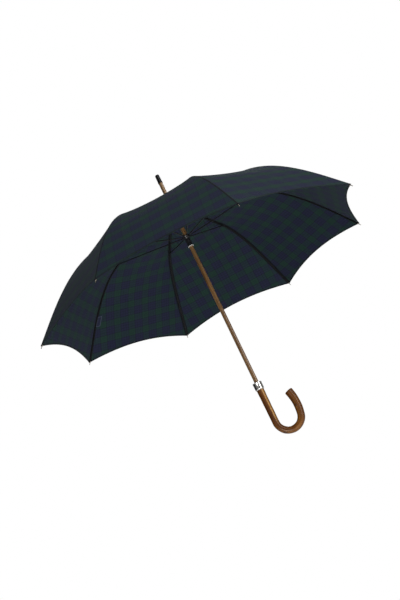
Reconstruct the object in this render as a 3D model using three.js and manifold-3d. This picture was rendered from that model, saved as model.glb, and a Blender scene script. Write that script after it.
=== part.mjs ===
// Stick umbrella, open, upright on its shaft: ferrule up, crook handle down, millimetres, +Z up.
// The origin is on the shaft's axis, at the middle of the handle's straight grip.
import * as THREE from "three";
import { mergeVertices } from "three/addons/utils/BufferGeometryUtils.js";
import Module from "manifold-3d";

const wasm = await Module();
wasm.setup();

// Heights above the grip, with the crown and the rib tips hung from the ferrule's top
const FERRULE_TOP = 803;
const CROWN_BELOW_TOP = 110;
const CROWN_PIVOT = FERRULE_TOP - CROWN_BELOW_TOP;
const RIB_DROP = 283;
const RIB_TIP_HEIGHT = CROWN_PIVOT - RIB_DROP;
const CUP_TOP = 75;
const CUP_BOTTOM = 52;
const CROOK_START = -53;

// Shaft, ferrule and handle
const SHAFT_R = 6.5;
const FERRULE_LENGTH = 30;
const FERRULE_WALL = 0.8;
const FERRULE_BEVEL = 1.2;
const FERRULE_BEVEL_HEIGHT = 3;
const SPIGOT_SHORT = 14;
const SPIGOT_R = 5;
const HANDLE_R = 10.8;
const HANDLE_BORE_DEPTH = 45;
const CROOK_R = 38.5;
const CROOK_END_R = 147;
const CROOK_TURN = 168;
const CROOK_END_TURN = 30;
const CUP_R = SHAFT_R + 7;
const CUP_WALL = 0.9;
const CUP_BEVEL = 1.6;
const CUP_BEVEL_HEIGHT = 2.5;
const CUP_FLOOR = 5;

// Frame: eight ribs and their stretchers
const RIBS = 8;
const FIRST_RIB = 196.4;
const PIVOT_R = SHAFT_R + 3.5;
const ARM = 256;
const ARM_SLOPE = 13.1;
const JOINER_DROP = 4;
const RIB_TIP_R = 538;
const RIB_START_SLOPE = 12;
const RIB_END_SLOPE = 49.5;
const RIB_START_PULL = 0.31119;
const RIB_END_PULL = 0.35565;
const RIB_WIDTH = 3.2;
const RIB_HEIGHT = 2.6;
const RIB_WALL = 0.6;
const RIB_STEPS = 8;
const TIP_LENGTH = 13;
const TIP_R = 1.3;
const STRETCHER_WIDTH = 2.8;
const STRETCHER_HEIGHT = 2.4;
const BLADE = 1.2;
const EYE_R = 1.9;
const WIRE_R = 0.5;
const PIN_R = 0.8;
const PIN_OUT = 1.6;
const BLADE_LENGTH = 7;
const FORK_LENGTH = 12;
const FORK_ROOT = 8;
const FORK_CHEEK = 1;

// Crown and runner
const NOTCH_R = PIVOT_R + 1;
const NOTCH_HALF = 3.2;
const RUNNER_TAPER = 2;
const WINDOW_TOP = 4;
const RUNNER_R = SHAFT_R + 1.8;
const RUNNER_BELOW = 32;
const RING_R = SHAFT_R + 3.3;
const RING_HEIGHT = 3.6;
const RING_BEVEL = 0.8;
const CAP_R = PIVOT_R + 7;
const CAP_HEIGHT = 8;
const CAP_EDGE = 1;
const CAP_NECK_WALL = 2.5;

// Catches in the shaft
const CATCH_WIDTH = 1.6;
const CATCH_LENGTH = 54;
const CATCH_OUT = 4;
const CATCH_DEPTH = 5.5;
const CATCH_LEG = 2.4;
const CATCH_RAMP = 24;
const CATCH_NOSE = 2.5;
const CATCH_SHOULDER = 0.7;
const POCKET_END = 5;
const POCKET_MARGIN = 2;
const POCKET_WALL = 2.5;
const WINDOW_FOOT = 6;
const RUNNER_CLOSED = 181.15;

// Canopy
const FABRIC = 0.9;
const FABRIC_LIFT = 1.2;
const FABRIC_START_R = PIVOT_R + 2.5;
const FABRIC_SHORT = 7;
const SCALLOP = 27;
const STRAP_WIDTH = 24;
const STRAP_LENGTH = 170;
const STRAP_FROM_HEM = 8;
const STRAP_FROM_RIB = 7;
const STRAP_GORE = 3;
const STUD_R = 6.6;
const STUD_BEVEL = 0.6;
const STUD_HEIGHT = 1.6;
const STUD_LIFT = 0.6;
const STUD_FROM_END = 14;
const LABEL_WIDTH = 16;
const LABEL_LENGTH = 34;
const LABEL_FROM_HEM = 154;
const LABEL_GORE = 1;
const CLOTH_ROWS = 22;

// Clearances
const GAP = 0.3;
const PIVOT_GAP = 0.4;
const FLEX_GAP = 0.5;

const rad = THREE.MathUtils.degToRad;
const v2 = (x, y) => new THREE.Vector2(x, y);
const v3 = (x, y, z) => new THREE.Vector3(x, y, z);
const umbrella = new THREE.Group();

// ---- Solid helpers ----

function welded(geometry) {
  const bare = geometry.clone();
  bare.deleteAttribute("normal");
  bare.deleteAttribute("uv");
  return mergeVertices(bare, 1e-4);
}

function solid(geometry) {
  const g = welded(geometry);
  const vertProperties = new Float32Array(g.attributes.position.array);
  const triVerts = new Uint32Array(g.index.array);
  return new wasm.Manifold(new wasm.Mesh({ numProp: 3, vertProperties, triVerts }));
}

function geometryOf(manifold) {
  const mesh = manifold.getMesh();
  const g = new THREE.BufferGeometry();
  g.setAttribute("position", new THREE.BufferAttribute(new Float32Array(mesh.vertProperties), 3));
  g.setIndex(new THREE.BufferAttribute(new Uint32Array(mesh.triVerts), 1));
  return g;
}

function joined(parts) {
  return parts.map(solid).reduce((whole, piece) => whole.add(piece));
}

function cut(whole, tools) {
  return tools.map(solid).reduce((left, tool) => left.subtract(tool), whole);
}

function turned(profile, sides = 32) {
  const points = profile.map(([r, z]) => v2(r, z));
  return new THREE.LatheGeometry(points, sides).rotateX(Math.PI / 2);
}

// A flat plate in the XZ plane, centred on y = at.
function plate(outline, thickness, at = 0) {
  const g = new THREE.ExtrudeGeometry(outline, { depth: thickness, bevelEnabled: false });
  return g.rotateX(Math.PI / 2).translate(0, at + thickness / 2, 0);
}

function roundPlate(centre, radius, thickness, at = 0, sides = 12) {
  const g = new THREE.CylinderGeometry(radius, radius, thickness, sides);
  return g.translate(centre.x, at, centre.y);
}

function barPlate(from, to, height, thickness, at = 0) {
  const g = new THREE.BoxGeometry(from.distanceTo(to), thickness, height);
  const middle = from.clone().add(to).divideScalar(2);
  const slope = Math.atan2(to.y - from.y, to.x - from.x);
  return g.rotateY(-slope).translate(middle.x, at, middle.y);
}

function block(low, high) {
  const size = high.map((value, i) => value - low[i]);
  const g = new THREE.BoxGeometry(...size);
  return g.translate(...high.map((value, i) => (value + low[i]) / 2));
}

function add(name, geometry, colour, roughness, metalness, parent = umbrella) {
  const material = new THREE.MeshStandardMaterial({ color: colour, roughness, metalness });
  const mesh = new THREE.Mesh(geometry, material);
  mesh.name = name;
  parent.add(mesh);
  return mesh;
}

// ---- Rib line: one side view, shared by ribs, stretchers and canopy ----

const crownPivot = v2(PIVOT_R, CROWN_PIVOT);
const armSlope = rad(ARM_SLOPE);
const joiner = v2(
  crownPivot.x + ARM * Math.cos(armSlope),
  crownPivot.y - ARM * Math.sin(armSlope),
);
const runnerPivot = v2(PIVOT_R, 2 * joiner.y - crownPivot.y);
const elbow = v2(
  joiner.x + JOINER_DROP * Math.sin(armSlope),
  joiner.y + JOINER_DROP * Math.cos(armSlope),
);
const ribTip = v2(RIB_TIP_R, RIB_TIP_HEIGHT);
const startSlope = rad(RIB_START_SLOPE);
const endSlope = rad(RIB_END_SLOPE);
const bendSpan = elbow.distanceTo(ribTip);
const startPull = v2(Math.cos(startSlope), -Math.sin(startSlope));
const endPull = v2(Math.cos(endSlope), -Math.sin(endSlope));
const bend = new THREE.CubicBezierCurve(
  elbow,
  elbow.clone().addScaledVector(startPull, RIB_START_PULL * bendSpan),
  ribTip.clone().addScaledVector(endPull, -RIB_END_PULL * bendSpan),
  ribTip,
);
const armLine = new THREE.LineCurve(crownPivot, elbow);
const armLength = armLine.getLength();
const bendLength = bend.getLength();

// A point and the outward normal of the rib line, at a length from the crown pivot.
function ribLine(length) {
  const onArm = length <= armLength;
  const curve = onArm ? armLine : bend;
  const share = onArm ? length / armLength : (length - armLength) / bendLength;
  const point = curve.getPointAt(Math.min(share, 1));
  const along = curve.getTangentAt(Math.min(share, 1));
  return { point, along, out: v2(-along.y, along.x) };
}

// The side view of a strip that follows the rib line between two offsets.
function strip(from, to, low, high, steps) {
  const lower = [];
  const upper = [];
  for (let i = 0; i <= steps; i++) {
    const { point, out } = ribLine(from + ((to - from) * i) / steps);
    lower.push(point.clone().addScaledVector(out, low));
    upper.push(point.clone().addScaledVector(out, high));
  }
  return new THREE.Shape([...lower, ...upper.reverse()]);
}

// A fluted steel rib: a channel that is open towards the shaft.
function channel(from, to, steps) {
  const half = RIB_HEIGHT / 2;
  const body = solid(plate(strip(from, to, -half, half, steps), RIB_WIDTH));
  const flute = plate(strip(from - 1, to + 1, -half - 1, half - RIB_WALL, steps), RIB_WIDTH - 2 * RIB_WALL);
  return cut(body, [flute]);
}

const ribLength = armLength + bendLength;
const midJoint = armLength + bendLength / 2;

// Crown to joiner: eye on the crown wire, channel, and the joiner tab with its rivet.
function innerRib() {
  const eyeToChannel = barPlate(crownPivot, ribLine(BLADE_LENGTH + 4).point, RIB_HEIGHT, BLADE);
  const root = ribLine(armLength - 2);
  const tabTop = root.point.clone().addScaledVector(root.out, RIB_HEIGHT / 2 - RIB_WALL / 2);
  const tab = barPlate(joiner, tabTop, 4 * PIN_R, BLADE);
  const rivet = roundPlate(joiner, PIN_R, BLADE + 2 * (FORK_CHEEK + PIVOT_GAP) + 0.4, 0, 8);
  const body = channel(BLADE_LENGTH, armLength - FLEX_GAP, 1)
    .add(joined([roundPlate(crownPivot, EYE_R, BLADE), eyeToChannel]))
    .add(joined([tab, roundPlate(joiner, 2 * PIN_R, BLADE), rivet]));
  return geometryOf(cut(body, [roundPlate(crownPivot, WIRE_R + PIVOT_GAP, BLADE + 2, 0, 8)]));
}

function middleRib() {
  return geometryOf(channel(armLength + FLEX_GAP, midJoint - FLEX_GAP, RIB_STEPS));
}

// Outer stretch of the rib with its metal tip, which the canopy's corner is sewn to.
function outerRib() {
  const end = ribLine(ribLength);
  const tip = new THREE.CapsuleGeometry(TIP_R, TIP_LENGTH, 2, 8);
  tip.rotateZ(Math.PI / 2 - endSlope).rotateX(Math.PI / 2);
  const centre = end.point.clone().addScaledVector(end.along, -TIP_LENGTH / 2 - TIP_R);
  tip.translate(centre.x, 0, centre.y);
  const body = channel(midJoint + FLEX_GAP, ribLength - TIP_LENGTH + 1, RIB_STEPS);
  return geometryOf(body.add(solid(tip)));
}

// Runner to joiner: eye on the runner wire, bar, and a fork over the joiner tab.
function stretcher() {
  const along = joiner.clone().sub(runnerPivot).normalize();
  const at = (length) => runnerPivot.clone().addScaledVector(along, length);
  const cheekAt = BLADE / 2 + PIVOT_GAP + FORK_CHEEK / 2;
  const cheeks = [-cheekAt, cheekAt].flatMap((side) => [
    roundPlate(joiner, 2 * PIN_R + 0.4, FORK_CHEEK, side),
    barPlate(at(ARM - FORK_LENGTH), joiner, STRETCHER_HEIGHT, FORK_CHEEK, side),
  ]);
  const body = joined([
    roundPlate(runnerPivot, EYE_R, BLADE),
    barPlate(runnerPivot, at(BLADE_LENGTH + 1), STRETCHER_HEIGHT, BLADE),
    barPlate(at(BLADE_LENGTH), at(ARM - FORK_ROOT), STRETCHER_HEIGHT, STRETCHER_WIDTH),
    ...cheeks,
  ]);
  const holes = [
    roundPlate(runnerPivot, WIRE_R + PIVOT_GAP, BLADE + 2, 0, 8),
    roundPlate(joiner, PIN_R + GAP, 4 * STRETCHER_WIDTH, 0, 8),
  ];
  return geometryOf(cut(body, holes));
}

// ---- Canopy: one gore between each pair of ribs ----

const fabricLow = RIB_HEIGHT / 2 + FABRIC_LIFT;
const fabricEnd = ribLength - FABRIC_SHORT;
const fabricStart = (FABRIC_START_R - PIVOT_R) / Math.cos(armSlope);
const ribAngle = (k) => rad(FIRST_RIB - (k * 360) / RIBS);

// A point of the taut gore between rib k and the next: s is 0 at the crown and 1 at the hem,
// u is 0 at rib k and 1 at the next, and lift is the height above the rib line.
function gorePoint(k, s, u, lift) {
  const hem = fabricEnd - SCALLOP * (1 - (2 * u - 1) ** 2);
  const { point, out } = ribLine(fabricStart + (hem - fabricStart) * s);
  const place = point.clone().addScaledVector(out, lift);
  const [a, b] = [ribAngle(k), ribAngle(k + 1)];
  const seam = FABRIC / 2 / place.x;
  const first = v3(Math.cos(a - seam), Math.sin(a - seam), 0).multiplyScalar(place.x);
  const second = v3(Math.cos(b + seam), Math.sin(b + seam), 0).multiplyScalar(place.x);
  return first.lerp(second, u).setZ(place.y);
}

// A closed sheet from a grid of points on its two sides.
function sheet(rows, columns, under, over) {
  const positions = [];
  for (const side of [under, over]) {
    for (let i = 0; i <= rows; i++) {
      for (let j = 0; j <= columns; j++) positions.push(...side(i / rows, j / columns).toArray());
    }
  }
  const layer = (rows + 1) * (columns + 1);
  const at = (side, i, j) => side * layer + i * (columns + 1) + j;
  const index = [];
  const quad = (a, b, c, d) => index.push(a, c, b, a, d, c);
  for (let i = 0; i < rows; i++) {
    for (let j = 0; j < columns; j++) {
      quad(at(0, i, j), at(0, i, j + 1), at(0, i + 1, j + 1), at(0, i + 1, j));
      quad(at(1, i, j), at(1, i + 1, j), at(1, i + 1, j + 1), at(1, i, j + 1));
    }
    quad(at(0, i, 0), at(0, i + 1, 0), at(1, i + 1, 0), at(1, i, 0));
    quad(at(0, i, columns), at(1, i, columns), at(1, i + 1, columns), at(0, i + 1, columns));
  }
  for (let j = 0; j < columns; j++) {
    quad(at(0, 0, j), at(1, 0, j), at(1, 0, j + 1), at(0, 0, j + 1));
    quad(at(0, rows, j), at(0, rows, j + 1), at(1, rows, j + 1), at(1, rows, j));
  }
  const g = new THREE.BufferGeometry();
  g.setAttribute("position", new THREE.Float32BufferAttribute(positions, 3));
  g.setIndex(index);
  return g;
}

// ---- Shaft, ferrule, tip cup and handle ----

const handleTop = CUP_BOTTOM - GAP;
const catchPocket = CATCH_WIDTH + 2 * PIVOT_GAP;
const topCatch = runnerPivot.y - RUNNER_BELOW - RING_HEIGHT - GAP;
const windowBelow = RUNNER_BELOW - WINDOW_FOOT;
const bottomCatch = RUNNER_CLOSED - windowBelow + PIVOT_GAP;

function shaft() {
  const shoulder = FERRULE_TOP - FERRULE_LENGTH;
  const foot = handleTop - HANDLE_BORE_DEPTH + GAP;
  const profile = [
    [0, foot],
    [SHAFT_R, foot],
    [SHAFT_R, shoulder - GAP],
    [SPIGOT_R, shoulder - GAP],
    [SPIGOT_R, FERRULE_TOP - SPIGOT_SHORT],
    [0, FERRULE_TOP - SPIGOT_SHORT],
  ];
  const depth = POCKET_WALL - SHAFT_R;
  const half = catchPocket / 2;
  const over = SHAFT_R + 1;
  const pocket = (from, to) => block([-half, depth, from], [half, over, to]);
  const pockets = [
    pocket(topCatch - CATCH_LENGTH - POCKET_END, topCatch + POCKET_MARGIN),
    pocket(bottomCatch - POCKET_MARGIN, bottomCatch + CATCH_LENGTH + POCKET_END),
  ];
  return geometryOf(cut(solid(turned(profile)), pockets));
}

function ferrule() {
  const low = FERRULE_TOP - FERRULE_LENGTH;
  const outer = SHAFT_R + FERRULE_WALL;
  return turned([
    [SPIGOT_R + GAP, low],
    [outer, low],
    [outer, FERRULE_TOP - FERRULE_BEVEL_HEIGHT],
    [outer - FERRULE_BEVEL, FERRULE_TOP],
    [0, FERRULE_TOP],
    [0, FERRULE_TOP - SPIGOT_SHORT + GAP],
    [SPIGOT_R + GAP, FERRULE_TOP - SPIGOT_SHORT + GAP],
    [SPIGOT_R + GAP, low],
  ]);
}

// The nickel cup that the rib tips tuck into when the umbrella is closed.
function tipCup() {
  const bore = SHAFT_R + GAP;
  return turned([
    [bore, CUP_BOTTOM],
    [CUP_R - CUP_BEVEL, CUP_BOTTOM],
    [CUP_R, CUP_BOTTOM + CUP_BEVEL_HEIGHT],
    [CUP_R, CUP_TOP],
    [CUP_R - CUP_WALL, CUP_TOP],
    [CUP_R - CUP_WALL, CUP_BOTTOM + CUP_FLOOR + CUP_WALL],
    [bore, CUP_BOTTOM + CUP_FLOOR],
    [bore, CUP_BOTTOM],
  ]);
}

// The handle's centre line: straight grip, main bend, and the wide bend that leans back in.
class CrookCurve extends THREE.Curve {
  constructor() {
    super();
    this.straight = handleTop - CROOK_START;
    this.turn = rad(CROOK_TURN);
    this.lengths = [this.straight, CROOK_R * this.turn, CROOK_END_R * rad(CROOK_END_TURN)];
  }

  getPoint(t, target = v3(0, 0, 0)) {
    const total = this.lengths.reduce((sum, length) => sum + length);
    const along = t * total;
    if (along <= this.straight) return target.set(0, 0, handleTop - along);
    const bent = along - this.straight;
    const angle = Math.PI + Math.min(bent / CROOK_R, this.turn);
    const [x, z] = [CROOK_R, CROOK_START];
    if (bent <= this.lengths[1]) {
      return target.set(x + CROOK_R * Math.cos(angle), 0, z + CROOK_R * Math.sin(angle));
    }
    const reach = CROOK_END_R - CROOK_R;
    const last = angle + (bent - this.lengths[1]) / CROOK_END_R;
    const centreX = x - reach * Math.cos(angle);
    const centreZ = z - reach * Math.sin(angle);
    return target.set(centreX + CROOK_END_R * Math.cos(last), 0, centreZ + CROOK_END_R * Math.sin(last));
  }
}

function crookHandle() {
  const section = new THREE.Shape(
    Array.from({ length: 16 }, (_, i) => {
      const angle = (i * Math.PI) / 8;
      return v2(HANDLE_R * Math.cos(angle), HANDLE_R * Math.sin(angle));
    }),
  );
  const path = new CrookCurve();
  const g = new THREE.ExtrudeGeometry(section, { steps: 40, bevelEnabled: false, extrudePath: path });
  const boreR = SHAFT_R + GAP;
  const bore = new THREE.CylinderGeometry(boreR, boreR, 2 * HANDLE_BORE_DEPTH, 32);
  return geometryOf(cut(solid(g), [bore.rotateX(Math.PI / 2).translate(0, 0, handleTop)]));
}

// ---- Crown and runner: slotted heads with a wire through the eyes ----

function headGroove(z) {
  return [
    [NOTCH_R, z - WIRE_R - 2 * GAP],
    [PIVOT_R - WIRE_R - GAP, z - WIRE_R - GAP],
    [PIVOT_R - WIRE_R - GAP, z + WIRE_R + GAP],
    [NOTCH_R, z + WIRE_R + 2 * GAP],
  ];
}

function slots(z) {
  const half = BLADE / 2 + PIVOT_GAP;
  const inner = PIVOT_R - EYE_R - PIVOT_GAP;
  return Array.from({ length: RIBS }, (_, k) =>
    block([inner, -half, z - NOTCH_HALF - 1], [NOTCH_R + 1, half, z + NOTCH_HALF + 1]).rotateZ(ribAngle(k)),
  );
}

function crownNotch() {
  const z = CROWN_PIVOT;
  const bore = SHAFT_R + GAP;
  const body = turned([
    [bore, z - NOTCH_HALF],
    [NOTCH_R, z - NOTCH_HALF],
    ...headGroove(z),
    [NOTCH_R, z + NOTCH_HALF],
    [bore, z + NOTCH_HALF],
    [bore, z - NOTCH_HALF],
  ]);
  return geometryOf(cut(solid(body), slots(z)));
}

function runner() {
  const z = runnerPivot.y;
  const bore = SHAFT_R + GAP;
  const foot = z - RUNNER_BELOW;
  const body = turned([
    [bore, foot],
    [RUNNER_R, foot],
    [RUNNER_R, z - NOTCH_HALF - RUNNER_TAPER],
    [NOTCH_R, z - NOTCH_HALF],
    ...headGroove(z),
    [NOTCH_R, z + NOTCH_HALF],
    [bore, z + NOTCH_HALF],
    [bore, foot],
  ]);
  const half = catchPocket / 2;
  const windowFoot = z - windowBelow - 2 * GAP;
  const windowHead = z - NOTCH_HALF - WINDOW_TOP;
  const windowCut = block([-half, 0, windowFoot], [half, NOTCH_R + 1, windowHead]);
  return geometryOf(cut(solid(body), [...slots(z), windowCut]));
}

function runnerRing() {
  const top = runnerPivot.y - RUNNER_BELOW - GAP;
  const low = top - RING_HEIGHT + GAP;
  const bore = SHAFT_R + GAP;
  return turned([
    [bore, low],
    [RING_R - RING_BEVEL, low],
    [RING_R, low + RING_BEVEL],
    [RING_R, top - RING_BEVEL],
    [RING_R - RING_BEVEL, top],
    [bore, top],
    [bore, low],
  ]);
}

function pivotWire(z) {
  return new THREE.TorusGeometry(PIVOT_R, WIRE_R, 5, 32).translate(0, 0, z);
}

// The cap over the canopy's centre: its edge lies just above the cloth.
function crownCap() {
  const low = CROWN_PIVOT + NOTCH_HALF + GAP;
  const edgeDrop = (CAP_R - PIVOT_R) * Math.tan(armSlope);
  const edge = CROWN_PIVOT - edgeDrop + (fabricLow + FABRIC) / Math.cos(armSlope) + GAP;
  const bore = SHAFT_R + GAP;
  const neck = SHAFT_R + CAP_NECK_WALL;
  return turned([
    [bore, low + 1],
    [NOTCH_R, low],
    [CAP_R, edge],
    [CAP_R, edge + CAP_EDGE],
    [NOTCH_R, low + 2 * CAP_EDGE],
    [neck, low + CAP_HEIGHT],
    [bore, low + CAP_HEIGHT],
    [bore, low + 1],
  ]);
}

// A flat steel catch in the shaft's pocket. Its shoulder is at z and holds the runner up (side 1)
// or down (side -1), and its leg runs away from the shoulder to the hinge.
function springCatch(z, side) {
  const reach = SHAFT_R + CATCH_OUT;
  const leg = SHAFT_R - CATCH_DEPTH;
  const far = z - side * CATCH_LENGTH;
  const outline = new THREE.Shape([
    v2(leg, z),
    v2(leg + 0.75 * CATCH_LEG, z),
    v2(reach, z - side * CATCH_SHOULDER),
    v2(reach, z - side * CATCH_NOSE),
    v2(leg + 1.25 * CATCH_LEG, z - side * CATCH_RAMP),
    v2(leg + CATCH_LEG, far),
    v2(leg, far),
  ]);
  const g = new THREE.ExtrudeGeometry(outline, { depth: CATCH_WIDTH, bevelEnabled: false });
  g.translate(0, 0, -CATCH_WIDTH / 2);
  const turn = new THREE.Matrix4().set(0, 0, 1, 0, 1, 0, 0, 0, 0, 1, 0, 0, 0, 0, 0, 1);
  return g.applyMatrix4(turn);
}

// The pin across the shaft that stops the runner at the top.
const pinHeight = runnerPivot.y + NOTCH_HALF + GAP + PIN_R;

function pinAcross(radius, length) {
  return new THREE.CylinderGeometry(radius, radius, length, 12).translate(0, 0, pinHeight);
}

// ---- Assembly ----

const WOOD = 0x7a4e2a;
const CHESTNUT = 0x8a4a1c;
const NICKEL = 0xc9c7c0;
const BLACK = 0x15161a;
const TARTAN = 0x1f2c34;
const NAVY = 0x1b2440;

const drilled = cut(solid(shaft()), [pinAcross(PIN_R + GAP, 4 * SHAFT_R)]);
add("shaft", geometryOf(drilled), WOOD, 0.35, 0);
add("stop_pin", pinAcross(PIN_R, 2 * (SHAFT_R + PIN_OUT)), NICKEL, 0.3, 1);
add("ferrule", ferrule(), BLACK, 0.35, 0.6);
add("tip_cup", tipCup(), NICKEL, 0.15, 1);
add("crook_handle", crookHandle(), CHESTNUT, 0.2, 0);
add("crown_notch", crownNotch(), BLACK, 0.5, 0.3);
add("crown_wire", pivotWire(CROWN_PIVOT), NICKEL, 0.3, 1);
add("crown_cap", crownCap(), BLACK, 0.4, 0.2);
add("runner", runner(), BLACK, 0.35, 0.1);
add("runner_ring", runnerRing(), NICKEL, 0.2, 1);
add("runner_wire", pivotWire(runnerPivot.y), NICKEL, 0.3, 1);
add("top_spring", springCatch(topCatch, 1), NICKEL, 0.3, 1);
add("bottom_spring", springCatch(bottomCatch, -1), NICKEL, 0.3, 1);

const links = {
  rib_inner: innerRib(),
  rib_middle: middleRib(),
  rib_outer: outerRib(),
  stretcher: stretcher(),
};
for (let k = 0; k < RIBS; k++) {
  const arm = new THREE.Group();
  arm.rotation.z = ribAngle(k);
  umbrella.add(arm);
  for (const [name, geometry] of Object.entries(links)) {
    add(`${name}_${k + 1}`, geometry, BLACK, 0.4, 0.7, arm);
  }
}

for (let k = 0; k < RIBS; k++) {
  const under = (s, u) => gorePoint(k, s, u, fabricLow);
  const over = (s, u) => gorePoint(k, s, u, fabricLow + FABRIC);
  add(`canopy_${k + 1}`, sheet(CLOTH_ROWS, 4, under, over), TARTAN, 0.85, 0);
}

// A point over or under gore k: a length along the rib line, and a length across from rib k.
const chord = 2 * Math.sin(Math.PI / RIBS);
function clothPoint(k, length, across, lift) {
  const u = across / (chord * ribLine(length).point.x);
  const hem = fabricEnd - SCALLOP * (1 - (2 * u - 1) ** 2);
  return gorePoint(k, (length - fabricStart) / (hem - fabricStart), u, lift);
}

// Closing strap: sewn beside the fourth rib, it lies across the fourth gore above the hem.
const strapAbove = fabricLow + FABRIC + GAP;
const strapTop = fabricEnd - SCALLOP - STRAP_FROM_HEM - STRAP_WIDTH;
const strapSide = (lift) => (s, u) =>
  clothPoint(STRAP_GORE, strapTop + STRAP_WIDTH * s, STRAP_FROM_RIB + STRAP_LENGTH * u, lift);
add("strap", sheet(2, 10, strapSide(strapAbove), strapSide(strapAbove + FABRIC)), TARTAN, 0.8, 0);

const studAcross = STRAP_FROM_RIB + STRAP_LENGTH - STUD_FROM_END;
const studPoint = (lift) => clothPoint(STRAP_GORE, strapTop + STRAP_WIDTH / 2, studAcross, lift);
const studAt = studPoint(strapAbove + FABRIC + GAP + STUD_HEIGHT / 2 + STUD_LIFT);
const studOut = studPoint(strapAbove + 3 * STUD_R).sub(studAt).normalize();
const stud = new THREE.CylinderGeometry(STUD_R - STUD_BEVEL, STUD_R, STUD_HEIGHT, 20);
stud.applyQuaternion(new THREE.Quaternion().setFromUnitVectors(v3(0, 1, 0), studOut));
stud.translate(...studAt.toArray());
add("strap_stud", stud, NICKEL, 0.25, 1);

// Sewn label, under the second gore beside its rib.
const labelTop = fabricEnd - LABEL_FROM_HEM;
const labelSide = (lift) => (s, u) =>
  clothPoint(LABEL_GORE, labelTop + LABEL_LENGTH * s, RIB_WIDTH + GAP + LABEL_WIDTH * u, lift);
const labelUnder = fabricLow - 2 * FABRIC;
add("label", sheet(2, 2, labelSide(labelUnder - FABRIC), labelSide(labelUnder)), NAVY, 0.8, 0);

export default umbrella;
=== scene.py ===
import math

import bpy
import numpy as np
from mathutils import Matrix, Quaternion, Vector


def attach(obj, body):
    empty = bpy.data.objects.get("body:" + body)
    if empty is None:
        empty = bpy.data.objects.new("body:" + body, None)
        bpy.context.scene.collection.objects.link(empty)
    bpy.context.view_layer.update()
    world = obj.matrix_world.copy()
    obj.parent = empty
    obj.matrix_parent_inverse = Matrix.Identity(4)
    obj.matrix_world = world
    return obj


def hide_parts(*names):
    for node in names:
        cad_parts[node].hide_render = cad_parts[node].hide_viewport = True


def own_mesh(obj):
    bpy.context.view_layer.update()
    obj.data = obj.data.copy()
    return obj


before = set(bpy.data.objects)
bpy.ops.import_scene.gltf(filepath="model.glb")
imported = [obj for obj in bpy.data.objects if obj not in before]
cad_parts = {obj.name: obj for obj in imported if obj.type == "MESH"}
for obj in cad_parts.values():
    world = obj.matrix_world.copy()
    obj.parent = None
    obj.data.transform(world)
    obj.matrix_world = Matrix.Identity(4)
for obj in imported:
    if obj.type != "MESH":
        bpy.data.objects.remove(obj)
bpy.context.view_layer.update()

bpy.ops.object.select_all(action="DESELECT")

# ---- Camera, floor and lights ----
# The umbrella hangs open, upright on its shaft. The camera looks up from below the canopy's edge,
# turned on its side a little, so that the shaft leans. The floor is plain and pale.
CAMERA_PLACE = Vector((0, -2.65544, -0.34237))
CAMERA_AIM = Vector((-0.04587, 0, 0.37658))
CAMERA_LENS = 54.70
CAMERA_ROLL = math.radians(-25.49)
FLOOR_HEIGHT = -1.25
FLOOR_SIZE = 7
ROOM_LIGHT = 0.24

bpy.ops.object.camera_add(location=CAMERA_PLACE)
camera = bpy.context.object
camera.rotation_mode = "QUATERNION"
look = (CAMERA_AIM - CAMERA_PLACE).to_track_quat("-Z", "Y")
camera.rotation_quaternion = look @ Quaternion((0, 0, 1), CAMERA_ROLL)
camera.data.lens = CAMERA_LENS
camera.data.sensor_width = 36
bpy.context.scene.camera = camera
bpy.context.scene.view_settings.view_transform = "Standard"


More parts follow.
